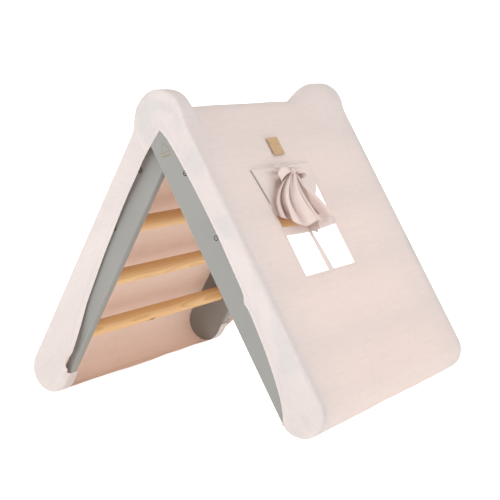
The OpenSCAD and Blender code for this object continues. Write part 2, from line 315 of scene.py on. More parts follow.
class Finish:
    """A small helper that adds and joins shader nodes."""

    def __init__(self, name):
        self.material = bpy.data.materials.new(name)
        self.material.use_nodes = True
        self.tree = self.material.node_tree
        self.shader = self.tree.nodes["Principled BSDF"]
        self.output = self.tree.nodes["Material Output"]

    def node(self, kind, **settings):
        made = self.tree.nodes.new(kind)
        for key, value in settings.items():
            if key in made.inputs:
                made.inputs[key].default_value = value
            else:
                setattr(made, key, value)
        return made

    def link(self, a, b):
        self.tree.links.new(a, b)

    def coords(self, output="Object", scale=(1, 1, 1), turn=(0, 0, 0), shift=(0, 0, 0)):
        source = self.node("ShaderNodeTexCoord")
        mapping = self.node("ShaderNodeMapping")
        mapping.inputs["Scale"].default_value = scale
        mapping.inputs["Rotation"].default_value = turn
        mapping.inputs["Location"].default_value = shift
        self.link(source.outputs[output], mapping.inputs["Vector"])
        return mapping.outputs["Vector"]

    def noise(self, vector, scale, detail=2.0, rough=0.5):
        made = self.node("ShaderNodeTexNoise")
        made.inputs["Scale"].default_value = scale
        made.inputs["Detail"].default_value = detail
        made.inputs["Roughness"].default_value = rough
        self.link(vector, made.inputs["Vector"])
        return made.outputs["Fac"]

    def ramp(self, value, stops):
        made = self.node("ShaderNodeValToRGB")
        ramp = made.color_ramp
        while len(ramp.elements) < len(stops):
            ramp.elements.new(0.5)
        for element, (place, colour) in zip(ramp.elements, stops):
            element.position = place
            element.color = (*colour, 1.0) if len(colour) == 3 else colour
        self.link(value, made.inputs["Fac"])
        return made.outputs["Color"]

    def grey(self, value, low, high, start=0.0, end=1.0):
        made = self.node("ShaderNodeMapRange")
        made.inputs["From Min"].default_value = start
        made.inputs["From Max"].default_value = end
        made.inputs["To Min"].default_value = low
        made.inputs["To Max"].default_value = high
        self.link(value, made.inputs["Value"])
        return made.outputs["Result"]

    def math(self, operation, a, b=None):
        made = self.node("ShaderNodeMath", operation=operation)
        for socket, value in zip(made.inputs, (a, b)):
            if value is None:
                continue
            if isinstance(value, (int, float)):
                socket.default_value = value
            else:
                self.link(value, socket)
        return made.outputs["Value"]

    def mix(self, share, a, b, blend="MIX"):
        made = self.node("ShaderNodeMix", data_type="RGBA", blend_type=blend)
        for socket, value in ((made.inputs[0], share), (made.inputs[6], a), (made.inputs[7], b)):
            if isinstance(value, (int, float)):
                socket.default_value = value
            elif isinstance(value, tuple):
                socket.default_value = (*value, 1.0)
            else:
                self.link(value, socket)
        return made.outputs[2]

    def bump(self, height, strength, distance, before=None):
        made = self.node("ShaderNodeBump")
        made.inputs["Strength"].default_value = strength
        made.inputs["Distance"].default_value = distance
        self.link(height, made.inputs["Height"])
        if before is not None:
            self.link(before, made.inputs["Normal"])
        return made.outputs["Normal"]


THREAD = 0.00085


def cloth_finish(name, colour, dark, translucent=0.0, glow=(1.0, 0.87, 0.80), folds=None):
    """Linen-look cotton: a plain weave of uneven threads, with slubs, streaks and soft mottling.

    glow is the colour light takes on in passing through; folds is a painted shade colour, blended in by the crease
    attribute where the cloth lies in shade."""
    f = Finish(name)
    uv = f.coords("UV")
    split = f.node("ShaderNodeSeparateXYZ")
    f.link(uv, split.inputs[0])
    per = 2 * math.pi / THREAD
    warp = f.math("SINE", f.math("MULTIPLY", split.outputs[0], per))
    weft = f.math("SINE", f.math("MULTIPLY", split.outputs[1], per))
    weave = f.math("MULTIPLY", warp, weft)
    slub_across = f.noise(f.coords("UV", scale=(14.0, 620.0, 1.0)), 1.0, 3.0, 0.6)
    slub_down = f.noise(f.coords("UV", scale=(620.0, 14.0, 1.0)), 1.0, 3.0, 0.6)
    slubs = f.math("ADD", slub_across, slub_down)
    streak = f.noise(f.coords("UV", scale=(5.0, 170.0, 1.0)), 1.0, 4.0, 0.65)
    mottle = f.noise(f.coords("UV", scale=(70.0, 90.0, 1.0)), 1.0, 4.0, 0.65)
    tone = f.math("ADD", f.math("MULTIPLY", slubs, 0.5), f.math("MULTIPLY", weave, 0.10))
    body = f.mix(f.grey(tone, 0.0, 1.0, 0.34, 0.66), dark, colour)
    deep = tuple(c * 0.86 for c in dark)
    body = f.mix(f.grey(streak, 0.0, 0.17, 0.46, 0.72), body, deep)
    body = f.mix(f.grey(mottle, 0.0, 0.18, 0.44, 0.74), body, deep)
    if folds:
        # painted shade: the crease attribute darkens the cloth towards the folds colour in creases, gaps and under
        # other cloth
        crease = f.node("ShaderNodeAttribute", attribute_name="crease")
        body = f.mix(crease.outputs["Fac"], body, folds)
    f.link(body, f.shader.inputs["Base Color"])
    f.shader.inputs["Roughness"].default_value = 0.92
    f.shader.inputs["Specular IOR Level"].default_value = 0.18
    f.shader.inputs["Sheen Weight"].default_value = 0.12
    f.shader.inputs["Sheen Roughness"].default_value = 0.5
    threads = f.math("ADD", f.math("MULTIPLY", weave, 0.5), f.math("MULTIPLY", slubs, 0.9))
    threads = f.math("ADD", threads, f.math("MULTIPLY", streak, 1.4))
    normal = f.bump(threads, 0.45, 0.0006)
    f.link(normal, f.shader.inputs["Normal"])
    if translucent:
        through = f.node("ShaderNodeBsdfTranslucent")
        f.link(f.mix(1.0, body, glow, "MULTIPLY"), through.inputs["Color"])
        both = f.node("ShaderNodeMixShader")
        both.inputs["Fac"].default_value = translucent
        f.link(f.shader.outputs[0], both.inputs[1])
        f.link(through.outputs[0], both.inputs[2])
        f.link(both.outputs[0], f.output.inputs["Surface"])
    return f.material


def paint_finish(name, colour, wear=0.0):
    """Satin lacquer on board, sprayed: fine orange peel and faint uneven sheen."""
    f = Finish(name)
    place = f.coords("Object")
    broad = f.noise(place, 9.0, 3.0, 0.55)
    base = f.mix(f.grey(broad, 0.0, 1.0, 0.3, 0.7), tuple(c * 0.96 for c in colour),
                 tuple(c * 1.04 for c in colour))
    if wear:
        rub = f.noise(place, 160.0, 5.0, 0.7)
        base = f.mix(f.grey(rub, 0.0, wear, 0.56, 0.68), base, (0.56, 0.53, 0.47))
    f.link(base, f.shader.inputs["Base Color"])
    peel = f.noise(place, 900.0, 2.0, 0.5)
    f.link(f.grey(broad, 0.44, 0.54, 0.3, 0.7), f.shader.inputs["Roughness"])
    f.link(f.bump(peel, 0.12, 0.0004), f.shader.inputs["Normal"])
    f.shader.inputs["Specular IOR Level"].default_value = 0.4
    return f.material


def pine_finish(name, shift, turn, knots=()):
    """Clear-oiled pine: growth rings cut lengthwise, fine fibre, and knots where given."""
    f = Finish(name)
    rings_at = f.coords("Object", scale=(1.0, 0.09, 1.0), turn=(0, turn, 0), shift=(shift, shift * 0.7, 0.0))
    bend = f.noise(f.coords("Object", scale=(9.0, 2.2, 9.0), shift=(shift, 0, 0)), 1.0, 2.0, 0.5)
    split = f.node("ShaderNodeSeparateXYZ")
    f.link(rings_at, split.inputs[0])
    ring_run = f.math("ADD", f.math("MULTIPLY", split.outputs[0], 230.0), f.math("MULTIPLY", bend, 9.0))
    rings = f.math("FRACT", ring_run)
    late = f.ramp(rings,
                  [(0.0, (0.0,) * 3), (0.55, (0.25,) * 3), (0.86, (1.0,) * 3), (0.95, (0.85,) * 3),
                   (1.0, (0.0,) * 3)])
    fibre = f.noise(f.coords("Object", scale=(700.0, 9.0, 700.0)), 1.0, 3.0, 0.6)
    blush = f.noise(f.coords("Object", scale=(6.0, 1.5, 6.0), shift=(0, shift, 0)), 1.0, 2.0, 0.5)
    wood = f.mix(f.math("MULTIPLY", late, 0.72), (0.80, 0.53, 0.25), (0.60, 0.30, 0.095))
    wood = f.mix(f.grey(fibre, 0.0, 0.35, 0.35, 0.7), wood, (0.66, 0.36, 0.13))
    wood = f.mix(f.grey(blush, 0.0, 0.35, 0.35, 0.7), wood, (0.83, 0.58, 0.31))
    for place, size in knots:
        centred = f.coords("Object", scale=(1 / size, 0.45 / size, 1 / size),
                           shift=(-place[0] / size, -place[1] * 0.45 / size, -place[2] / size))
        length = f.node("ShaderNodeVectorMath", operation="LENGTH")
        f.link(centred, length.inputs[0])
        wobble = f.math("ADD", length.outputs["Value"], f.math("MULTIPLY", bend, 0.25))
        spot = f.ramp(wobble,
                      [(0.0, (1.0,) * 3), (0.42, (0.95,) * 3), (0.62, (0.35,) * 3), (1.0, (0.0,) * 3)])
        wood = f.mix(spot, wood, (0.17, 0.065, 0.022))
    f.link(wood, f.shader.inputs["Base Color"])
    f.link(f.grey(fibre, 0.42, 0.58), f.shader.inputs["Roughness"])
    height = f.math("ADD", f.math("MULTIPLY", late, 0.4), f.math("MULTIPLY", fibre, 0.6))
    f.link(f.bump(height, 0.25, 0.0004), f.shader.inputs["Normal"])
    f.shader.inputs["Specular IOR Level"].default_value = 0.35
    return f.material


def steel_finish(name, side=0):
    """Zinc-plated steel with a fine turned grain; on rung screws the rim and socket are painted dark as shade.

    side is 1 or -1 for the screws of the outer or inner ladder, whose places it then knows."""
    f = Finish(name)
    place = f.coords("Object")
    grain = f.noise(place, 1500.0, 3.0, 0.6)
    cloud = f.noise(place, 120.0, 2.0, 0.5)
    plate = f.mix(f.grey(cloud, 0.0, 1.0, 0.3, 0.7), (0.34, 0.35, 0.36), (0.48, 0.49, 0.50))
    if side:
        split = f.node("ShaderNodeSeparateXYZ")
        f.link(place, split.inputs[0])
        x = f.math("MULTIPLY", split.outputs[0], 1000.0 * side)
        z = f.math("ADD", f.math("MULTIPLY", split.outputs[2], 1000.0), -HINGE_Z)
        u = f.math("ADD", f.math("MULTIPLY", x, SIN), f.math("MULTIPLY", z, -COS))
        v = f.math("ADD", f.math("MULTIPLY", x, COS), f.math("MULTIPLY", z, SIN))
        step = f.math("FRACT", f.math("ADD", f.math("MULTIPLY", f.math("ADD", u, -FIRST), 1 / PITCH), 0.5))
        along_board = f.math("MULTIPLY", f.math("ADD", step, -0.5), PITCH)
        across = f.math("ADD", v, -SHIFT)
        reach = f.math("SQRT", f.math("ADD", f.math("MULTIPLY", along_board, along_board),
                                      f.math("MULTIPLY", across, across)))
        # painted shade: the gap round the head's rim and the hex socket are painted near black, the face between
        # keeps the plating
        rim_and_socket_shade = f.ramp(f.grey(reach, 0.0, 1.0, 0.0, 6.0),
                      [(0.0, (0.75,) * 3), (0.26, (0.75,) * 3), (0.32, (0.0,) * 3), (0.50, (0.0,) * 3),
                       (0.56, (1.0,) * 3), (1.0, (1.0,) * 3)])
        plate = f.mix(rim_and_socket_shade, plate, (0.02, 0.02, 0.02))
    f.link(plate, f.shader.inputs["Base Color"])
    f.shader.inputs["Metallic"].default_value = 1.0
    f.link(f.grey(grain, 0.28, 0.46), f.shader.inputs["Roughness"])
    f.link(f.bump(grain, 0.2, 0.0001), f.shader.inputs["Normal"])
    return f.material


def leather_finish(name):
    """Vegetable-tanned leather: pebbled grain, darker in the pores and paler where rubbed."""
    f = Finish(name)
    place = f.coords("Object")
    pebble = f.node("ShaderNodeTexVoronoi", feature="DISTANCE_TO_EDGE")
    pebble.inputs["Scale"].default_value = 900.0
    f.link(place, pebble.inputs["Vector"])
    creases = f.grey(pebble.outputs["Distance"], 0.0, 1.0, 0.0, 0.22)
    cloud = f.noise(place, 60.0, 4.0, 0.6)
    tan = f.mix(f.grey(cloud, 0.0, 1.0, 0.3, 0.7), (0.49, 0.31, 0.145), (0.66, 0.46, 0.245))
    tan = f.mix(creases, (0.36, 0.21, 0.09), tan)
    f.link(tan, f.shader.inputs["Base Color"])
    f.link(f.grey(cloud, 0.42, 0.6), f.shader.inputs["Roughness"])
    f.link(f.bump(creases, 0.35, 0.0003), f.shader.inputs["Normal"])
    return f.material


def print_finish(name):
    """Screen-printed matt gold ink, a little speckled in colour and roughness."""
    f = Finish(name)
    place = f.coords("Object")
    speck = f.noise(place, 700.0, 4.0, 0.7)
    f.link(f.mix(f.grey(speck, 0.0, 1.0, 0.4, 0.6), (0.19, 0.155, 0.06), (0.27, 0.225, 0.10)),
           f.shader.inputs["Base Color"])
    f.shader.inputs["Metallic"].default_value = 0.25
    f.link(f.grey(speck, 0.4, 0.6), f.shader.inputs["Roughness"])
    f.link(f.bump(speck, 0.15, 0.0001), f.shader.inputs["Normal"])
    return f.material


LINEN = cloth_finish("cover_linen", (0.935, 0.898, 0.885), (0.885, 0.845, 0.832), 0.42)
# the folds colours are painted shade for the curtain's creases; the valance's near black one paints the dark slit at
# its left edge
CURTAIN_LINEN = cloth_finish("curtain_linen", (0.965, 0.87, 0.835), (0.91, 0.81, 0.77), 0.34,
                             folds=(0.34, 0.15, 0.10))
VALANCE_LINEN = cloth_finish("valance_linen", (0.935, 0.898, 0.885), (0.885, 0.845, 0.832), 0.42,
                             folds=(0.12, 0.055, 0.04))
LINING = cloth_finish("cover_inside_linen", (0.94, 0.845, 0.785), (0.89, 0.79, 0.725), 0.42)
HEM_LINEN = cloth_finish("hem_linen", (0.66, 0.615, 0.595), (0.60, 0.55, 0.53))
PAINT = paint_finish("grey_lacquer", (0.245, 0.242, 0.227))
# the edge copy is painted a little lighter as a highlight on the rounded edges, and rubbed as real wear
PAINT_EDGE_HIGHLIGHT_AND_WEAR = paint_finish("grey_lacquer_edge_highlight_and_wear", (0.255, 0.252, 0.238), wear=0.12)
STEEL = steel_finish("zinc_steel")
SCREW_STEEL = {1: steel_finish("outer_screw_steel", 1), -1: steel_finish("inner_screw_steel", -1)}
LEATHER = leather_finish("tan_leather")
INK = print_finish("gold_print")

# ---------------------------------------------------------------- the cover: outlines

# Hem lines on the near and far faces: distance down the board, offset from its middle line
HEM_OUTER = [(18, -9), (42, -3), (75, 0.5), (107, 2.4), (148, 4.6), (200, 5.6), (245, 5.8), (290, 4.2),
             (345, 2),
             (361, -0.8), (369, -4.6), (379, -3.2), (403, -4.0), (432, -6.2), (460, -8.6), (488, -12.4),
             (520, -17.5), (550, -24), (575, -33), (592, -42)]
HEM_INNER = [(50, -11), (77, -9), (98, -8.8), (128, -7.5), (158, -5.6), (198, -4.4), (245, -5), (300, -7.2),
             (353, -11.2), (402, -15.2), (428, -20), (454, -25.8), (475, -31), (493, -35), (506, -37),
             (517, -35.6), (526, -33.2), (532, -33.4), (539, -35.2), (545, -39), (548, -45)]
HEM_INNER_FAR = [(50, -11), (77, -9), (128, -7.5), (198, -5), (245, -6), (300, -9), (353, -15), (402, -27),
                 (430, -40), (455, -51), (482, -56), (515, -57), (535, -54), (546, -50), (549, -45)]
# Half the hem's width apart at these distances down the inner ladder: the cover fits it loosely
HEM_STANDS = [(0, 301), (41, 301), (75, 299.5), (110, 297), (145, 294), (180, 290.5), (250, 286), (400, 285),
              (450, 288), (495, 295), (535, 300), (600, 300)]
INNER_EASE = 6.0
RIDGE_R = 20.5
RIDGE_LEAVES = math.radians(28)
HEAD_CLOTH_R = HEAD_R + 2.0
SLOPE_START = 75.0
HEAD_STEPS = 26
FOOT_STEPS = 24
HEM_AT_SLOPE_END = 520.0
CORNER_R = 6.4
CORNER_STEPS = 5
FACE_STEPS = 14
PANEL_STEP = 8.0
WRAP_PAST_FLOOR = 15.0


def head_edge_line():
    """The cloth's line over a round head, from straight above the hinge down to the slope."""
    turn = np.linspace(90 - math.degrees(LEAN), 0.0, 40)
    top = np.stack([-HEAD_CLOTH_R * np.sin(np.radians(turn)), HEAD_CLOTH_R * np.cos(np.radians(turn))], 1)
    u = np.linspace(0.0, SLOPE_START, 60)[1:]
    round_part = np.sqrt(np.clip(HEAD_CLOTH_R ** 2 - u ** 2, 0.0, None))
    low = np.stack([u, soft_max(round_part, np.full_like(u, PLANE), 5.0)], 1)
    return np.vstack([top, low])


def ridge_fall(u):
    """How far out the cloth stands between the heads, at a distance down the slope."""
    leave_u = -RIDGE_R * math.sin(RIDGE_LEAVES)
    leave_v = RIDGE_R * math.cos(RIDGE_LEAVES)
    rise = PLANE - leave_v
    run = 2 * rise / math.tan(RIDGE_LEAVES)
    t = np.clip((u - leave_u) / run, 0.0, 1.0)
    return leave_v + rise * (1 - (1 - t) ** 2)


def ridge_line():
    turn = np.linspace(90 - math.degrees(LEAN), math.degrees(RIDGE_LEAVES), 20)
    top = np.stack([-RIDGE_R * np.sin(np.radians(turn)), RIDGE_R * np.cos(np.radians(turn))], 1)
    u = np.linspace(top[-1][0], SLOPE_START, 60)[1:]
    return np.vstack([top, np.stack([u, ridge_fall(u)], 1)])


def side_rows(hem_points, last_straight, far_hem_points=None):
    """Rows of the cover over one ladder, from the ridge down and round the foot.

    Each row has the cloth's edge line, its line between the heads, its hem place, its outward
    direction and its angle round the foot, all in the ladder's own u and v."""
    head = head_edge_line()
    head = resample(head, np.linspace(0.0, along(head)[-1], HEAD_STEPS + 1))
    mid = ridge_line()
    mid = resample(mid, np.linspace(0.0, along(mid)[-1], HEAD_STEPS + 1))
    slope_u = np.concatenate([np.linspace(SLOPE_START, WINDOW_TOP, 9)[1:],
                              np.linspace(WINDOW_TOP, WINDOW_LOW, 29)[1:],
                              np.linspace(WINDOW_LOW, FOOT_AT, 29)[1:]])
    edge = list(head) + [(u, PLANE) for u in slope_u]
    inner = list(mid) + [(u, float(ridge_fall(u))) for u in slope_u]
    round_foot = [0.0] * len(edge)
    for k in range(1, FOOT_STEPS + 1):
        a = math.pi * k / FOOT_STEPS
        place = (FOOT_AT + FOOT_R * math.sin(a), SHIFT + FOOT_R * math.cos(a))
        edge.append(place)
        inner.append(place)
        round_foot.append(math.degrees(a))
    for u in last_straight:
        edge.append((u, SHIFT - FOOT_R))
        inner.append((u, SHIFT - FOOT_R))
        round_foot.append(180.0)
    edge, inner = np.array(edge), np.array(inner)
    counts = (HEAD_STEPS, len(slope_u), FOOT_STEPS + len(last_straight))
    hems = {}
    for end, points in ((-1, hem_points), (1, far_hem_points or hem_points)):
        hem = fair([(u, SHIFT + off) for u, off in points], 400)
        run = along(hem)
        at_slope = np.interp(SLOPE_START + 13.0, hem[:, 0], run)
        at_foot = np.interp(HEM_AT_SLOPE_END, hem[:300, 0], run[:300])
        stations = np.concatenate([np.linspace(0.0, at_slope, counts[0] + 1),
                                   np.linspace(at_slope, at_foot, counts[1] + 1)[1:],
                                   np.linspace(at_foot, run[-1], counts[2] + 1)[1:]])
        hems[end] = resample(hem, stations)
    return {"edge": edge, "mid": inner, "hem": hems, "round": np.array(round_foot)}


window_low, window_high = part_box("window_bar_cross")
WINDOW_LEFT, WINDOW_RIGHT = thousand(window_low)[1], thousand(window_high)[1]
upright_low, upright_high = (thousand(c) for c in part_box("window_bar_upright"))
WINDOW_TOP = (HINGE_Z - upright_high[2]) / COS + PLANE * SIN / COS
WINDOW_LOW = (HINGE_Z - upright_low[2]) / COS + PLANE * SIN / COS
WINDOW_TOP, WINDOW_LOW = round(WINDOW_TOP), round(WINDOW_LOW)
WINDOW_MID = (upright_low[1] + upright_high[1]) / 2


def half_width(x, z):
    """Half the cover's width at a place in X and Z: it narrows onto the inner ladder."""
    far = np.hypot(x, z - HINGE_Z)
    step = OUTER_FACE - INNER_FACE - INNER_EASE
    return OUTER_FACE + CLOTH - step * ease((far - 51.5) / 26.0) * ease(-x / 26.0)


def panel_columns():
    """Places across the panel, on the window's edges where it has them."""
    half = OUTER_FACE + CLOTH - CORNER_R
    parts = [(-half, WINDOW_LEFT), (WINDOW_LEFT, WINDOW_RIGHT), (WINDOW_RIGHT, half)]
    columns = [-half]
    for low, high in parts:
        count = max(2, round((high - low) / PANEL_STEP))
        columns += list(np.linspace(low, high, count + 1)[1:])
    return np.array(columns) / half


def window_skew(u, y):
    """The cloth's pull draws the window's upper left corner towards the near side."""
    up = np.clip((WINDOW_LOW - 110.0 - u) / (WINDOW_LOW - 110.0 - WINDOW_TOP), 0.0, 1.25)
    down_slope = ease((u - 40.0) / (WINDOW_TOP - 40.0))
    beside = ease(1 - np.abs(y - WINDOW_LEFT) / 105.0)
    return -19.0 * np.minimum(up, 1.0) ** 1.2 * down_slope * beside


def head_share(y):
    """1 over the heads, 0 between them: the cloth hangs away from each head in a hollow curve."""
    near = np.clip((-y - 217.0) / 46.0, 0.0, 1.0)
    far = np.clip((y - 152.0) / 108.0, 0.0, 1.0)
    t = np.where(y < 0, near, far)
    return t ** 1.8 * (1 + 0.8 * (1 - t))


def build_cover():
    rows = {1: side_rows(HEM_OUTER, ()), -1: side_rows(HEM_INNER, (579, 570, 563), HEM_INNER_FAR)}
    start = rows[1]["hem"][-1][0]
    start_xz = on_ladder(1, start[0], 0.0, start[1])[[0, 2]]
    order = []
    inner_count = len(rows[-1]["edge"])
    for i in range(inner_count - 1, 0, -1):
        order.append((-1, i))
    for i in range(len(rows[1]["edge"])):
        order.append((1, i))
    columns = panel_columns()
    # the inner ladder's hem starts where the outer one's does, at the top of the gable
    lead = HEAD_STEPS
    places, uvs, spec = [], [], []
    run_down = 0.0
    before = None
    for side, i in order:
        data = rows[side]
        edge, mid = data["edge"][i], data["mid"][i]
        e = on_ladder(side, edge[0], 0.0, edge[1])[[0, 2]]
        m = on_ladder(side, mid[0], 0.0, mid[1])[[0, 2]]
        hem_at = {}
        for end in (-1, 1):
            hem = data["hem"][end][i]
            h = on_ladder(side, hem[0], 0.0, hem[1])[[0, 2]]
            if side < 0:
                first = data["hem"][end][0]
                h = h + (start_xz - on_ladder(-1, first[0], 0.0, first[1])[[0, 2]]) * max(0.0,
                                                                                          1 - i / lead) ** 1.3
            hem_at[end] = h
        stand = float(np.interp(data["hem"][-1][i][0], *zip(*HEM_STANDS)))
        nxt = data["edge"][min(i + 1, len(data["edge"]) - 1)]
        prv = data["edge"][max(i - 1, 0)]
        if i == 0:
            inward = np.array([0.0, -1.0])
        else:
            t = np.array(nxt) - np.array(prv)
            t /= np.linalg.norm(t)
            n_uv = np.array([t[1], -t[0]])
            inward = np.array([side * (n_uv[0] * SIN + n_uv[1] * COS), -n_uv[0] * COS + n_uv[1] * SIN])
        if before is not None:
            run_down += np.linalg.norm(e - before)
        before = e
        spec.append((side, i, data["round"][i], inward))
        row, row_uv = [], []
        half = float(half_width(e[0], e[1]))
        for end in (-1, 1):
            face = []
            arc_end = e + inward * CORNER_R
            for q in np.linspace(1.0, 0.0, FACE_STEPS + 1):
                q = 1 - (1 - q) ** 1.15
                p = arc_end + (hem_at[end] - arc_end) * q
                w = float(half_width(p[0], p[1]))
                if side < 0:
                    w += (stand - w) * q ** 1.6
                face.append(np.array([p[0], end * w, p[1]]))
            for k in range(1, CORNER_STEPS):
                b = math.pi / 2 * k / CORNER_STEPS
                p = e + inward * CORNER_R * (1 - math.sin(b))
                face.append(np.array([p[0], end * (half - CORNER_R * (1 - math.cos(b))), p[1]]))
            if end < 0:
                row += face
                for c in columns:
                    y = c * (half - CORNER_R)
                    s = float(head_share(y))
                    p = m + (e - m) * s
                    skew = float(window_skew(edge[0], y)) if side > 0 and data["round"][i] == 0 else 0.0
                    row.append(np.array([p[0], y + skew, p[1]]))
            else:
                row += face[::-1]
        row = np.array(row)
        cross = along(row)
        cross -= np.interp(0.0, row[:, 1], cross)
        places.append(row)
        uvs.append(np.stack([cross, np.full(len(row), run_down)], 1))
    return np.array(places), np.array(uvs), spec, columns


places, uvs, spec, columns = build_cover()
ROWS, COLUMNS = places.shape[:2]
FIRST_PANEL = FACE_STEPS + CORNER_STEPS
LAST_PANEL = FIRST_PANEL + len(columns) - 1


def sag(u, y):
    """How far the cloth of a slope hangs in between its two boards."""
    inside = np.clip(1 - (y / 286.0) ** 2, 0.0, None)
    down = np.clip(u / FOOT_AT, 0.0, 0.98)
    return 4.5 * inside * np.sin(math.pi * down * 1.02) ** 0.8


def slack_and_folds(places, spec):
    """Lets the cloth sag between its supports and pucker at the hem."""
    out = places.copy()
    flat = places.reshape(-1, 3)
    broad = ripple(flat, 170.0, 3.1).reshape(ROWS, COLUMNS)
    finer = ripple(flat, 60.0, 8.7).reshape(ROWS, COLUMNS)
    for r, (side, i, turn, inward) in enumerate(spec):
        row = places[r]
        y = row[:, 1]
        u = (row[:, 0] * side) * SIN + (HINGE_Z - row[:, 2]) * COS
        inside = np.clip(1 - (y / 286.0) ** 2, 0.0, None)
        soft = (1.1 * broad[r] + 0.5 * finer[r]) * np.clip(inside * 2.0, 0.25, 1.0)
        if side > 0:
            # the stitched window border keeps the cloth around it even
            clear = np.hypot(np.clip(np.abs(u - 250.0) - 120.0, 0, None),
                             np.clip(np.abs(y - WINDOW_MID) - 105.0, 0, None))
            soft = soft * (0.15 + 0.85 * ease(clear / 60.0))
        move = sag(np.clip(u, 0.0, None), y) - soft
        panel = np.zeros(COLUMNS)
        panel[FIRST_PANEL:LAST_PANEL + 1] = 1.0
        lift = move * panel
        out[r, :, 0] += inward[0] * lift
        out[r, :, 2] += inward[1] * lift
    # puckers along the hems of both faces
    for end, edge_column, step in ((-1, 0, 1), (1, COLUMNS - 1, -1)):
        hem_line = places[:, edge_column]
        run = along(hem_line)
        for k in range(FACE_STEPS + 1):
            column = edge_column + step * k
            away = np.linalg.norm(places[:, column] - hem_line, axis=1)
            fade = np.exp(-away / 9.0)
            beat = np.sin(run * 2 * math.pi / 13.0 + 1.7 * np.sin(run / 37.0)) * 0.3
            wander = ripple(places[:, column], 45.0, 5.5 + end) * 0.7
            out[:, column, 1] += end * (fade * (beat + 0.35) + np.clip(away / 25.0, 0, 1) * wander)
            if end < 0:
                # the near hem rides up over the third rung's screw
                screw = on_ladder(1, FIRST + 2 * PITCH, 0.0, SHIFT)[[0, 2]]
                off = np.linalg.norm(places[:, column][:, [0, 2]] - screw, axis=1)
                out[:, column, 1] -= 2.2 * np.exp(-(off / 8.0) ** 2)
    return out


def foot_gathers(out, spec):
    """Small pleats where the flat face meets the round foot."""
    for r, (side, i, turn, inward) in enumerate(spec):
        if turn <= 5:
            continue
        swell = math.sin(math.radians(min(turn, 175.0)))
        beat = math.sin(math.radians(turn) * 13.0) * 0.9 + math.sin(math.radians(turn) * 7.0 + side) * 0.6
        for k in range(FACE_STEPS + CORNER_STEPS):
            q = k / (FACE_STEPS + CORNER_STEPS)
            weight = math.sin(math.pi * q) ** 0.7 * swell
            out[r, k, 1] -= 0.7 * weight * (beat + 1.2)
            out[r, COLUMNS - 1 - k, 1] += 0.7 * weight * (beat + 1.2)
    return out


shaped = foot_gathers(slack_and_folds(places, spec), spec)
shaped[:, :, 2] = np.maximum(shaped[:, :, 2], 0.3)


def cover_keeps(i, j):
    """Which faces of the cover's grid are cloth: not the window, and no cloth under the tent."""
    side_a, turn = spec[i][0], min(spec[i][2], spec[i + 1][2])
    past = 90 + math.degrees(LEAN) + WRAP_PAST_FLOOR
    y = places[i, j:j + 2, 1].mean()
    c = columns[min(max(j - FIRST_PANEL, 0), len(columns) - 2):][:2].mean() * (OUTER_FACE + CLOTH - CORNER_R)
    if turn >= past - 0.1:
        half = OUTER_FACE if side_a > 0 else INNER_FACE
        if abs(y) < half - (OUTER_FACE - OUTER_BACK):
            return False
    if side_a > 0 and spec[i][2] == 0:
        u = (places[i:i + 2, FIRST_PANEL, 0] * SIN + (HINGE_Z - places[i:i + 2, FIRST_PANEL, 2]) * COS).mean()
        if WINDOW_TOP < u < WINDOW_LOW and WINDOW_LEFT < c < WINDOW_RIGHT:
            if FIRST_PANEL <= j < LAST_PANEL:
                return False
    return True


faces = grid_faces(ROWS, COLUMNS, cover_keeps)
cover = mesh_piece("cover_sheet", shaped.reshape(-1, 3), faces, uvs.reshape(-1, 2))
drop_loose(cover)
outwards(cover)
cover.data.materials.append(LINEN)
cover.data.materials.append(LINING)
apply_modifier(cover, "SOLIDIFY", thickness=0.8 * MM, offset=-1.0, material_offset=1)
crisp_edges(cover)
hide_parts("cover_panel_outer", "cover_panel_inner", "cover_ridge", "cover_head_near",
            "cover_head_far",
            "cover_band_outer_near", "cover_band_outer_far", "cover_band_inner_near", "cover_band_inner_far")
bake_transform(cover)

# ---------------------------------------------------------------- hems


def hem_roll(name, line, into, nodes, width=3.4, thick=1.5):
    """The turned and elasticated edge of the cover, along one face's hem."""
    run = along(line)
    tangent = np.gradient(line, axis=0)
    tangent /= np.linalg.norm(tangent, axis=1)[:, None]
    into = into - (into * tangent).sum(1)[:, None] * tangent
    into /= np.linalg.norm(into, axis=1)[:, None]
    normal = np.cross(tangent, into)
    normal /= np.linalg.norm(normal, axis=1)[:, None]
    gather = 1 + 0.16 * np.sin(run * 2 * math.pi / 5.2 + np.sin(run / 21.0))
    piece = tube_along(name, line + into * width * 0.45, into, normal, width, thick * gather, 8)
    piece.data.materials.append(HEM_LINEN)
    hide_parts(*nodes)
    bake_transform(piece)
    return piece


for end, name, column, next_column in ((-1, "near", 0, 2), (1, "far", COLUMNS - 1, COLUMNS - 3)):
    edge_line = shaped[:, column]
    inner_line = shaped[:, next_column]
    stations = np.linspace(0.0, along(edge_line)[-1], int(along(edge_line)[-1] / 1.7))
    line = resample(edge_line, stations)
    share = np.interp(stations, along(edge_line), np.arange(ROWS))
    inner_at = np.stack([np.interp(share, np.arange(ROWS), inner_line[:, k]) for k in range(3)], 1)
    line[:, 1] -= end * 1.2
    inner_at[:, 1] -= end * 1.2
    hem_roll(f"cover_hem_{name}", line, inner_at - line,
                         (f"hem_outer_{name}", f"hem_inner_{name}"))

# ---------------------------------------------------------------- window, curtain and bow


def on_outer(table):
    """Places given as distance down the slope, place along the ridge and height out, as X, Y, Z."""
    table = np.asarray(table, float)
    return on_ladder(1, table[..., 0], table[..., 1], table[..., 2])


def smooth_through(table, at):
    """Values of a given table at these stations; the table's first column is the station."""
    table = np.asarray(table, float)
    t, value = table[:, 0], table[:, 1:]
    pull = np.gradient(value, t, axis=0)
    k = np.clip(np.searchsorted(t, at, side="right") - 1, 0, len(t) - 2)
    h = (t[k + 1] - t[k])[:, None]
    s = ((at - t[k])[:, None]) / h
    return ((2 * s ** 3 - 3 * s ** 2 + 1) * value[k] + (s ** 3 - 2 * s ** 2 + s) * h * pull[k]
            + (-2 * s ** 3 + 3 * s ** 2) * value[k + 1] + (s ** 3 - s ** 2) * h * pull[k + 1])


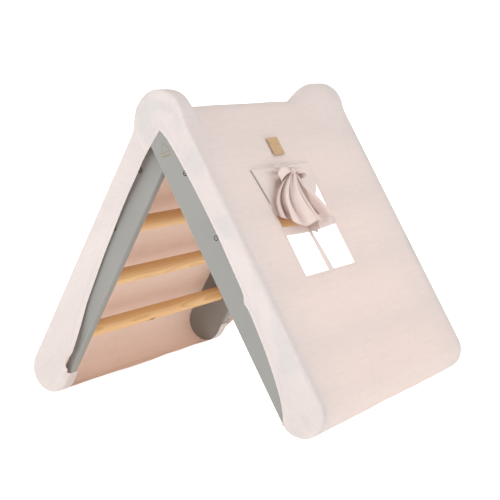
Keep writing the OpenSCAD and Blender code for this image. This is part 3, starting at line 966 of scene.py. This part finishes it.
def blur(values, reach):
    """A table of heights smoothed both ways over this many steps."""
    weights = np.hanning(2 * reach + 3)[1:-1]
    weights /= weights.sum()
    for axis in (0, 1):
        padded = np.pad(values, [(reach, reach) if k == axis else (0, 0) for k in (0, 1)], mode="edge")
        values = np.apply_along_axis(lambda line: np.convolve(line, weights, "valid"), axis, padded)
    return values


def valleys(height, reach, depth):
    """How deep each place lies among its neighbours, 0 on the folds and 1 in a valley depth mm deep."""
    return np.clip((blur(height, reach) - height) / depth, 0.0, 1.0)


def cloth_grid(name, grid, thick, material, subdivide=0, crease=None):
    """A sheet of cloth from a grid of places, with its own flat map, made solid."""
    rows, count = grid.shape[:2]
    down = np.concatenate([[0.0], np.cumsum(np.linalg.norm(np.diff(grid, axis=0), axis=2).mean(1))])
    across = np.concatenate([[0.0], np.cumsum(np.linalg.norm(np.diff(grid, axis=1), axis=2).mean(0))])
    uv = np.stack(np.meshgrid(across, down), -1)
    piece = mesh_piece(name, grid.reshape(-1, 3), grid_faces(rows, count), uv.reshape(-1, 2))
    # crease holds painted shade, kept as a point attribute for the cloth's material to darken with
    if crease is not None:
        layer = piece.data.attributes.new("crease", "FLOAT", "POINT")
        layer.data.foreach_set("value", np.asarray(crease, np.float32).ravel())
    area = sum(p.area for p in piece.data.polygons)
    if subdivide:
        apply_modifier(piece, "SUBSURF", levels=subdivide, render_levels=subdivide)
    apply_modifier(piece, "SOLIDIFY", thickness=thick * MM, offset=0.0)
    crisp_edges(piece)
    piece.data.materials.append(material)
    return piece, area


KNOT = (162.0, -60.0, 64.5)
SKIRT_LEFT = [(0, 165, -67, 65), (.18, 178, -101, 62), (.38, 196, -132, 58), (.58, 213, -148, 55),
              (.78, 228, -153, 54), (1, 242, -155, 54)]
SKIRT_RIGHT = [(0, 165, -53, 65), (.28, 191, -28, 62), (.58, 218, 1, 59), (.85, 245, 26, 56),
               (1, 260, 36, 54)]
SKIRT_TOP = [(0, 165, -67, 65), (.5, 163, -60, 70), (1, 165, -53, 65)]
SKIRT_HEM = [(0, 242, -155, 54), (.05, 250, -146, 59), (.10, 252, -133, 57), (.14, 253, -122, 56),
             (.19, 263, -139, 66), (.24, 270, -135, 70), (.30, 272, -118, 69), (.37, 275, -96, 65),
             (.46, 275, -76, 70), (.56, 272, -55, 68), (.66, 269, -34, 62), (.74, 267, -14, 57),
             (.82, 266, 4, 59), (.91, 264, 20, 60), (1, 260, 36, 54)]
SKIRT_FOLDS = [(0, .1), (.05, .55), (.11, -1), (.19, .95), (.24, .75), (.35, -.75), (.47, .95),
               (.56, .30), (.62, .62),
               (.73, -1.15), (.86, .85), (.93, .45), (1, 0)]


def build_skirt():
    """The gathered cloth below the bow: a few broad folds that fan out to a wavy hem."""
    a = np.linspace(0.0, 1.0, 121)
    b = np.linspace(0.0, 1.0, 49)
    left, right = smooth_through(SKIRT_LEFT, b)[:, None], smooth_through(SKIRT_RIGHT, b)[:, None]
    top, hem = smooth_through(SKIRT_TOP, a)[None], smooth_through(SKIRT_HEM, a)[None]
    aa, bb = a[None, :, None], b[:, None, None]
    grid = ((1 - aa) * left + aa * right + (1 - bb) * top + bb * hem
            - (1 - aa) * (1 - bb) * top[:, :1] - aa * (1 - bb) * top[:, -1:]
            - (1 - aa) * bb * hem[:, :1] - aa * bb * hem[:, -1:])
    folds = smooth_through(SKIRT_FOLDS, a)[:, 0][None, :]
    b2, a2 = b[:, None], a[None, :]
    deep = np.sin(math.pi * np.clip(b2 * 0.90 + 0.05, 0, 1)) ** 0.7
    pleats = np.sin(2 * math.pi * (a2 * 8.5 + 0.15)) * 1.7 * np.exp(-b2 / 0.26) * np.clip(b2 / 0.04, 0, 1)
    creases = (-5.0 * np.exp(-((a2 - 0.735 - 0.02 * b2) / 0.020) ** 2) * np.sin(math.pi * np.clip(b2 * 1.12, 0, 1)) ** 0.6
               - 4.2 * np.exp(-((a2 - 0.125 + 0.02 * b2) / 0.028) ** 2) * np.sin(math.pi * np.clip(b2 * 1.05, 0, 1)) ** 0.7
               - 2.6 * np.exp(-((a2 - 0.335 - 0.03 * b2) / 0.026) ** 2) * np.exp(-((b2 - 0.38) / 0.26) ** 2)
               - 1.4 * np.exp(-((a2 - 0.565 - 0.01 * b2) / 0.018) ** 2) * np.exp(-((b2 - 0.45) / 0.4) ** 2))
    height = 5.6 * deep * folds + pleats + creases
    grid[:, :, 2] += height
    grid[:, :, 0] += 1.6 * np.sin(2 * math.pi * (a2 * 3.1 + 0.2)) * b2 ** 2
    grid[:, :, 2] = np.maximum(grid[:, :, 2], 52.0)
    shade = 0.72 * valleys(height, 9, 3.0) + 0.40 * valleys(height, 3, 1.3)
    shade += 0.34 * np.exp(-(b2 / 0.10) ** 2) * (0.5 + 0.5 * np.sin(2 * math.pi * (a2 * 8.5 + 0.65)))
    shade += 0.30 * np.exp(-((a2 - 0.80) / 0.05) ** 2) * np.clip((b2 - 0.35) * 2, 0, 1)
    shade += 0.22 * np.exp(-((a2 - 0.02) / 0.05) ** 2)
    # the turned edges lie in their own shadow
    shade += 0.8 * np.exp(-(a2 / 0.010) ** 2) + 0.7 * np.exp(-((1 - b2) / 0.012) ** 2) * (1 - ease((a2 - 0.5) / 0.2))
    return on_outer(grid), np.clip(shade, 0.0, 0.85)


def window_left_edge(u):
    return WINDOW_LEFT + window_skew(u, WINDOW_LEFT)


# Small folds pulled towards the knot: u and y at both ends, depth and width
VALANCE_FOLDS = ((152, -94, 157, -66, 3.2, 2.4), (148, -16, 155, 18, 3.0, 2.6),
                 (170, -98, 164, -70, 2.2, 3.4),
                 (143, -60, 153, -54, 1.8, 2.0), (156, 14, 160, -34, 2.0, 3.0),
                 (146, -34, 156, -44, 2.2, 2.2),
                 (192, 22, 172, -20, 1.8, 3.4), (200, -128, 172, -92, 1.6, 4.0))


def build_valance():
    """The flat upper part of the curtain, sewn behind the window's top and drawn to the knot."""
    a = np.concatenate([np.linspace(0.0, 0.045, 14)[:-1], np.linspace(0.045, 1.0, 104)])
    b = np.linspace(0.0, 1.0, 51)
    bottom = smooth_through([(0, 238), (.25, 232), (.5, 226), (.78, 218), (.87, 211), (.94, 198),
                             (1, 184)], a)[:, 0]
    u = (WINDOW_TOP - 5.0) + b[:, None] * (bottom[None, :] - WINDOW_TOP + 5.0)
    # sunk along the left edge in a narrow slit that closes lower down, with painted shade making it dark
    edge = window_left_edge(u)
    slit = ease((u - WINDOW_TOP) / 5.0) * (1 - ease((u - 203.0) / 12.0))
    left = edge - 0.9 - 3.0 * ease((u - 208.0) / 14.0)
    y = left + a[None, :] * (WINDOW_RIGHT + 3.0 - left)
    du, dy = u - KNOT[0], y - KNOT[1]
    far = np.hypot(du, dy)
    turn = np.arctan2(du, dy)
    below = ease((u - WINDOW_TOP + 1.0) / 4.0)
    v = 48.3 + 1.35 * below - sag(u, y)
    v = v - 1.6 * ease((u - 200.0) / 20.0) * ease((y + 140.0) / -14.0)
    v += 12.0 * np.exp(-(far / 23.0) ** 2)
    v += 2.2 * np.sin(turn * 11.0 + 0.6 * np.sin(turn * 3.0)) * np.exp(-((far - 22.0) / 24.0) ** 2) * below
    for u0, y0, u1, y1, depth, wide in VALANCE_FOLDS:
        line = np.array([u1 - u0, y1 - y0], float)
        t = np.clip(((u - u0) * line[0] + (y - y0) * line[1]) / (line @ line), 0, 1)
        off = np.hypot(u - u0 - t * line[0], y - y0 - t * line[1])
        v -= depth * np.exp(-(off / wide) ** 2) * (0.3 + 0.7 * t)
    v += 0.9 * np.sin(math.pi * b[:, None]) * np.sin(a[None, :] * 9.0)
    shade = 0.24 * valleys(v, 4, 1.8) * np.exp(-(far / 75.0) ** 2)
    # painted shade: the slit and the small folds near the knot are darkened through the crease attribute
    groove = slit * np.exp(-((y - edge - 2.3) / 3.5) ** 4)
    v = np.maximum(v, 47.2 - sag(u, y)) - 7.0 * groove
    shade = np.clip(shade + 1.5 * groove, 0.0, 1.0)
    return on_outer(np.stack([u, y, v], -1)), shade


def ribbon_loop(name, path, widths, tilt):
    """A loop of ribbon: path gives places in u, y and v round the loop, widths its width in u."""
    centre = fair(path, 46)
    width = np.interp(np.linspace(0, 1, 46), np.linspace(0, 1, len(widths)), widths)
    across = np.linspace(-0.5, 0.5, 11)
    grid = np.empty((46, 11, 3))
    shade = np.zeros((46, 11))
    for i in range(46):
        round_loop = i / 45
        gathered = 1 - math.sin(math.pi * min(1.0, 1.25 * round_loop))
        for k, c in enumerate(across):
            cup = 1.6 * (1 - (2 * c) ** 2) + 0.9 * gathered * math.cos(c * 19.0)
            grid[i, k] = (centre[i][0] + c * width[i], centre[i][1] + tilt * c * width[i], centre[i][2] + cup)
            shade[i, k] = 0.45 * gathered ** 2 + 0.75 * float(ease(np.array((round_loop - 0.52) / 0.16)))
            shade[i, k] += 0.25 * (2 * c) ** 6
    return cloth_grid(name, on_outer(grid), 0.9, CURTAIN_LINEN, subdivide=1, crease=np.clip(shade, 0, 0.9))


skirt_places, skirt_shade = build_skirt()
valance_places, valance_shade = build_valance()
skirt, skirt_area = cloth_grid("curtain_skirt", skirt_places, 0.8, CURTAIN_LINEN, crease=skirt_shade)
valance, valance_area = cloth_grid("curtain_valance", valance_places, 0.8, VALANCE_LINEN,
                                   crease=valance_shade)
finish_piece(skirt, "outer_ladder", CURTAIN_LINEN, ["curtain"])
finish_piece(valance, "outer_ladder", VALANCE_LINEN)

LOOP_LEFT = [(163, -60, 65), (159, -70, 69), (159, -84, 70), (163, -98, 68), (169, -106, 65), (175, -103, 61),
             (176, -92, 59), (172, -78, 60), (166, -63, 61)]
LOOP_RIGHT = [(164, -58, 64), (161, -42, 66), (161, -24, 65), (164, -10, 63), (168, -2, 60), (171, -5, 57),
              (169, -20, 56), (166, -40, 57), (163, -58, 60)]
loop_left, _ = ribbon_loop("bow_loop_left", LOOP_LEFT, (7, 12, 16, 18, 17, 15, 13, 10, 7), 0.12)
loop_right, _ = ribbon_loop("bow_loop_right", LOOP_RIGHT, (5, 7, 8, 9, 9, 9, 8, 6, 5), -0.35)


def build_knot():
    """The bow's knot: a short band of ribbon wrapped round the gathers, a little lopsided."""
    rings, sides = 15, 40
    grid = np.empty((rings, sides + 1, 3))
    shade = np.empty((rings, sides + 1))
    for i in range(rings):
        t = i / (rings - 1) * 2 - 1
        swell = 1 - 0.32 * t * t
        for k in range(sides + 1):
            a = 2 * math.pi * k / sides
            fold = math.cos(7 * a + 0.8 * t)
            crease = 1 + 0.09 * fold + 0.05 * math.cos(3 * a - t)
            shade[i, k] = min(0.85, 0.55 * max(0.0, -fold) ** 2 + 0.6 * t ** 4)
            grid[i, k] = (KNOT[0] + 8.0 * t + 1.5 * math.sin(a),
                          KNOT[1] + 8.0 * swell * crease * math.cos(a),
                          KNOT[2] + 1.0 + 7.6 * swell * crease * math.sin(a))
    return on_outer(grid), shade


knot_places, knot_shade = build_knot()
knot, _ = cloth_grid("bow_knot", knot_places, 1.0, CURTAIN_LINEN, subdivide=1, crease=knot_shade)


def ribbon_tail(name, path, width, twist):
    centre = fair(path, 34)
    across = np.linspace(-0.5, 0.5, 7)
    grid = np.empty((34, 7, 3))
    shade = np.tile(np.linspace(0.75, 0.35, 34)[:, None], (1, 7))
    for i in range(34):
        t = i / 33
        spin = twist * math.sin(t * 2.6)
        for k, c in enumerate(across):
            slant = c * width * 0.5 * ease(np.array((t - 0.9) / 0.1))
            grid[i, k] = (centre[i][0] + slant, centre[i][1] + c * width * math.cos(spin),
                          centre[i][2] + c * width * math.sin(spin))
    return cloth_grid(name, on_outer(grid), 0.9, CURTAIN_LINEN, subdivide=1, crease=shade)


tail_left, _ = ribbon_tail("bow_tail_left", [(166, -50, 68), (186, -46, 66), (210, -43, 62), (236, -46, 60),
                                             (262, -52, 58), (287, -58, 55)], 11.0, 0.5)
tail_right, _ = ribbon_tail("bow_tail_right", [(166, -46, 67), (184, -40, 65), (205, -36, 61), (230, -34, 58),
                                               (256, -38, 56), (281, -40, 54)], 11.0, -0.4)
for piece in (loop_left, loop_right, knot, tail_left, tail_right):
    finish_piece(piece, "outer_ladder", CURTAIN_LINEN)
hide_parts("curtain_tie")


def window_strip(name, node, line, width, wave, slot_height):
    """A doubled strip of cloth across the window, a little slack."""
    centre = fair(line, 60)
    across = np.linspace(-0.5, 0.5, 7)
    grid = np.empty((60, 7, 3))
    tangent = np.gradient(centre, axis=0)
    tangent /= np.linalg.norm(tangent, axis=1)[:, None]
    for i in range(60):
        t = i / 59
        side_dir = np.array([-tangent[i][1], tangent[i][0]])
        w = width[0] + (width[1] - width[0]) * t
        for k, c in enumerate(across):
            v = slot_height + wave * math.sin(t * 7.0 + 1.0) * c * 2 + 0.35 * (1 - (2 * c) ** 2)
            v -= float(sag(centre[i][0], centre[i][1])) - 0.4
            grid[i, k] = (centre[i][0] + side_dir[0] * c * w, centre[i][1] + side_dir[1] * c * w,
                          v + centre[i][2])
    piece, _ = cloth_grid(name, on_outer(grid), 1.1, LINEN, subdivide=1)
    return finish_piece(piece, "outer_ladder", LINEN, [node])


window_strip("window_bar_cross_cloth", "window_bar_cross",
             [(270, WINDOW_LEFT - 5, 0), (272, -100, -0.8), (273, WINDOW_MID, -1.2), (271, 0, -0.8),
              (268, WINDOW_RIGHT + 5, 0)], (17.0, 17.0), 0.7, 48.2)
window_strip("window_bar_upright_cloth", "window_bar_upright",
             [(WINDOW_TOP - 5, WINDOW_MID, 0), (200, WINDOW_MID - 1, -1.0), (273, WINDOW_MID - 5, -1.6),
              (320, WINDOW_MID - 1, -1.2), (WINDOW_LOW + 5, WINDOW_MID + 1, 0)], (12.0, 13.0), 1.2, 49.2)

# ---------------------------------------------------------------- label and print


def build_label():
    """A square leather tag: cut edges a little rounded, border pressed in."""
    low, high = (thousand(c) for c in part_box("leather_label"))
    u_mid = FIRST - 13.0
    y_mid = (low[1] + high[1]) / 2
    half = (high[1] - low[1]) / 2
    count = 41
    line = np.linspace(-1.0, 1.0, count)
    grid = np.empty((count, count, 3))
    for i, a in enumerate(line):
        for k, c in enumerate(line):
            edge = max(abs(a), abs(c)) * half
            corner = 1 - 0.035 * (abs(a) * abs(c)) ** 8
            press = -0.28 * math.exp(-((edge - half + 4.6) / 0.8) ** 2)
            curl = 0.5 * (a * c) ** 2
            grid[i, k] = (u_mid + a * half * corner, y_mid + c * half * corner, 51.1 + press + curl)
    piece, _ = cloth_grid("leather_tag", on_outer(grid), 1.2, LEATHER)
    return finish_piece(piece, "outer_ladder", LEATHER, ["leather_label"]), (u_mid,
                                                                                              y_mid, half)


tag, tag_at = build_label()


def stitches(name, line, outward, pitch, length, thick):
    """A row of lock stitches along a line of places: each stitch a small raised capsule."""
    run = along(line)
    outward = np.broadcast_to(outward, line.shape)
    places, faces, uvs = [], [], []
    for n in range(int(run[-1] / pitch)):
        start = (n + 0.5) * pitch - length / 2
        at = [start, start + length / 2, start + length]
        ends = resample(line, at)
        up = np.array([np.interp(at[1], run, outward[:, k]) for k in range(3)])
        up /= np.linalg.norm(up)
        direction = (ends[2] - ends[0]) / max(np.linalg.norm(ends[2] - ends[0]), 1e-6)
        aside = np.cross(direction, up)
        base = len(places)
        for p, swell, rise in zip(ends, (0.35, 1.0, 0.35), (0.0, 0.5, 0.0)):
            for a in range(5):
                t = 2 * math.pi * a / 5 + math.pi / 2
                places.append(p + aside * math.cos(t) * thick * swell + up * thick * (rise + math.sin(t) * swell))
                uvs.append((at[0] + a, n))
        for k in range(2):
            for a in range(5):
                c, d = base + k * 5 + a, base + k * 5 + (a + 1) % 5
                faces.append((c, d, d + 5, c + 5))
        faces.append(tuple(base + a for a in range(5))[::-1])
        faces.append(tuple(base + 10 + a for a in range(5)))
    piece = mesh_piece(name, places, faces, uvs)
    outwards(piece)
    piece.data.materials.append(THREAD_FINISH)
    return piece


THREAD_FINISH = cloth_finish("sewing_thread", (0.72, 0.66, 0.63), (0.58, 0.51, 0.48))
inset = tag_at[2] - 2.2
tag_line = on_outer([(tag_at[0] + du * inset, tag_at[1] + dy * inset, 52.0)
                     for du, dy in ((-1, -1), (-1, 1), (1, 1), (1, -1), (-1, -1))])
finish_piece(stitches("tag_stitches", tag_line,
                      on_ladder(1, 0.0, 0.0, 1.0) - on_ladder(1, 0.0, 0.0, 0.0), 3.2, 2.3, 0.35),
             "outer_ladder", THREAD_FINISH)

cover_tree = BVHTree.FromPolygons([tuple(v.co * 1000.0) for v in cover.data.vertices],
                                  [tuple(p.vertices) for p in cover.data.polygons])


def laid_on_cover(line, inward):
    """The line moved onto the cover's outer face, looking inwards at it; places off the cover are dropped."""
    kept = []
    for p in line:
        place, _, _, _ = cover_tree.ray_cast(Vector(p - inward * 20.0), Vector(inward), 40.0)
        if place is not None:
            kept.append(place)
    return np.array(kept)


def window_stitches():
    """The stitched border round the window."""
    out = 5.0
    corners = [(WINDOW_TOP - out, WINDOW_LEFT - out), (WINDOW_TOP - out, WINDOW_RIGHT + out),
               (WINDOW_LOW + out, WINDOW_RIGHT + out), (WINDOW_LOW + out, WINDOW_LEFT - out),
               (WINDOW_TOP - out, WINDOW_LEFT - out)]
    border = resample(corners, np.arange(0.0, along(np.array(corners))[-1], 4.0))
    border[:, 1] += np.array([float(window_skew(u, y)) for u, y in border])
    across = on_ladder(1, 0.0, 0.0, 1.0) - on_ladder(1, 0.0, 0.0, 0.0)
    line = laid_on_cover(on_outer(np.column_stack([border, np.full(len(border), 50.0)])), -across)
    return finish_piece(stitches("window_stitches", line, across, 3.6, 2.6, 0.3), "outer_ladder",
                        THREAD_FINISH)


window_stitches()
for end, name, column in ((-1, "near", 3), (1, "far", COLUMNS - 4)):
    inward = np.array([0.0, -float(end), 0.0])
    line = laid_on_cover(shaped[:, column], inward)
    hem_seam = stitches(f"hem_stitches_{name}", line, -inward, 4.0, 2.9, 0.3)
    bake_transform(hem_seam)


def printed_mark():
    """A plain printed mark on the near outer board: a triangle outline over a short bar."""
    thick = 0.12
    mid_u, mid_v = 53.0, -13.5
    tilt = math.radians(12)
    across_dir = np.array([math.sin(tilt), math.cos(tilt)])
    up_dir = np.array([-math.cos(tilt), math.sin(tilt)])
    shapes = []
    outer = [(math.cos(t) * 13.0, math.sin(t) * 13.0) for t in (math.pi / 2, math.pi * 7 / 6,
                                                                math.pi * 11 / 6)]
    inner = [(x * 0.83, y * 0.83) for x, y in outer]
    shapes.append((outer, inner))
    shapes.append(([(10.5, -13.6), (-10.5, -13.6), (-10.5, -11.6), (10.5, -11.6)], None))
    places, faces = [], []

    def put(x, y, out):
        u = mid_u + across_dir[0] * x + up_dir[0] * y
        v = mid_v + across_dir[1] * x + up_dir[1] * y
        places.append(on_ladder(1, u, -OUTER_FACE - out, v))
        return len(places) - 1

    for rim, hole in shapes:
        n = len(rim)
        if hole is None:
            top = [put(x, y, thick) for x, y in rim]
            low = [put(x, y, -0.02) for x, y in rim]
            faces.append(tuple(top))
            faces += [(top[k], low[k], low[(k + 1) % n], top[(k + 1) % n]) for k in range(n)]
            faces.append(tuple(low[::-1]))
        else:
            ring = [[put(x, y, out) for x, y in line] for line in (rim, hole) for out in (thick, -0.02)]
            to, lo, ti, li = ring
            for k in range(n):
                m = (k + 1) % n
                faces += [(to[k], to[m], ti[m], ti[k]), (to[k], lo[k], lo[m], to[m]),
                          (ti[k], ti[m], li[m], li[k]), (lo[k], li[k], li[m], lo[m])]
    piece = mesh_piece("board_print", places, faces)
    for poly in piece.data.polygons:
        poly.use_smooth = False
    outwards(piece)
    return finish_piece(piece, "outer_ladder", INK)


printed_mark()

# ---------------------------------------------------------------- boards


EDGE_ROUND = 5.0


def mark_outline(piece, side):
    """Gives a bevel weight to the edges along a board's outline, and none to its holes."""
    mesh = piece.data
    weights = mesh.attributes.get("bevel_weight_edge") or mesh.attributes.new("bevel_weight_edge",
                                                                              "FLOAT", "EDGE")
    p = np.array([v.co for v in mesh.vertices]) * 1000.0
    u = side * p[:, 0] * SIN + (HINGE_Z - p[:, 2]) * COS
    v = side * p[:, 0] * COS - (HINGE_Z - p[:, 2]) * SIN
    straight = (np.abs(np.abs(v - SHIFT) - BOARD_R) < 0.3) & (u > 0) & (u < FOOT_AT + 1)
    foot = (np.abs(np.hypot(u - FOOT_AT, v - SHIFT) - BOARD_R) < 0.3) & (u > FOOT_AT - 1)
    head = (np.abs(np.hypot(u, v) - HEAD_R) < 0.3) & (u < BOARD_R)
    rim = straight | foot | head
    for k, edge in enumerate(mesh.edges):
        a, b = edge.vertices
        flat = abs(p[a, 1] - p[b, 1]) < 0.1
        weights.data[k].value = 1.0 if rim[a] and rim[b] and flat else 0.0


def lacquered_board(node, name, kind):
    """The CAD board with its long edges rounded over, and its edges a little rubbed and painted a touch lighter as a
    highlight.
    """
    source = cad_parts[node]
    mesh = source.data.copy()
    piece = bpy.data.objects.new(name, mesh)
    bpy.context.scene.collection.objects.link(piece)
    only(piece)
    bpy.ops.object.mode_set(mode="EDIT")
    bpy.ops.mesh.select_all(action="SELECT")
    bpy.ops.mesh.remove_doubles(threshold=0.00001)
    bpy.ops.mesh.customdata_custom_splitnormals_clear()
    bpy.ops.mesh.dissolve_limited(angle_limit=math.radians(0.5), delimit=set())
    bpy.ops.object.mode_set(mode="OBJECT")
    piece.data.materials.clear()
    piece.data.materials.append(PAINT)
    piece.data.materials.append(PAINT_EDGE_HIGHLIGHT_AND_WEAR)
    mark_outline(piece, 1 if kind == "outer" else -1)
    apply_modifier(piece, "BEVEL", width=EDGE_ROUND * MM, segments=4, limit_method="WEIGHT",
                   material=1, harden_normals=False)
    only(piece)
    bpy.ops.object.shade_smooth_by_angle(angle=math.radians(35))
    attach(piece, f"{kind}_ladder")
    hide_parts(node)
    return piece


for kind in ("outer", "inner"):
    for end in ("near", "far"):
        lacquered_board(f"{kind}_board_{end}", f"side_board_{kind}_{end}", kind)

# ---------------------------------------------------------------- rungs and metalwork

RUNGS = [("hinge_rung", 0.3, 0.4)]
for k in range(1, 5):
    RUNGS.append((f"outer_rung_{k}", 0.17 * k + 0.05, 0.9 * k))
    RUNGS.append((f"inner_rung_{k}", 0.23 * k + 0.61, 0.7 * k + 0.35))
for node, shift, turn in RUNGS:
    knots = []
    if node == "inner_rung_4":
        place = middle(node)
        knots = [((place.x + 0.010, -0.012, place.z - 0.0125), 0.0085)]
    if node == "inner_rung_2":
        place = middle(node)
        knots = [((place.x + 0.008, 0.14, place.z + 0.013), 0.006)]
    if node == "outer_rung_2":
        place = middle(node)
        knots = [((place.x - 0.008, -0.16, place.z + 0.013), 0.007)]
    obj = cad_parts[node]
    for material_slot in obj.material_slots:
        material_slot.link = "OBJECT"
        material_slot.material = pine_finish(f"pine_{node}", shift, turn, knots)

for node in ("hinge_bolt_near", "hinge_bolt_far", "hinge_inserts", "hinge_washers"):
    for material_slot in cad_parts[node].material_slots:
        material_slot.link = "OBJECT"
        material_slot.material = STEEL
for side, kind in ((1, "outer"), (-1, "inner")):
    for end in ("near", "far"):
        for material_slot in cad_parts[f"{kind}_screws_{end}"].material_slots:
            material_slot.link = "OBJECT"
            material_slot.material = SCREW_STEEL[side]
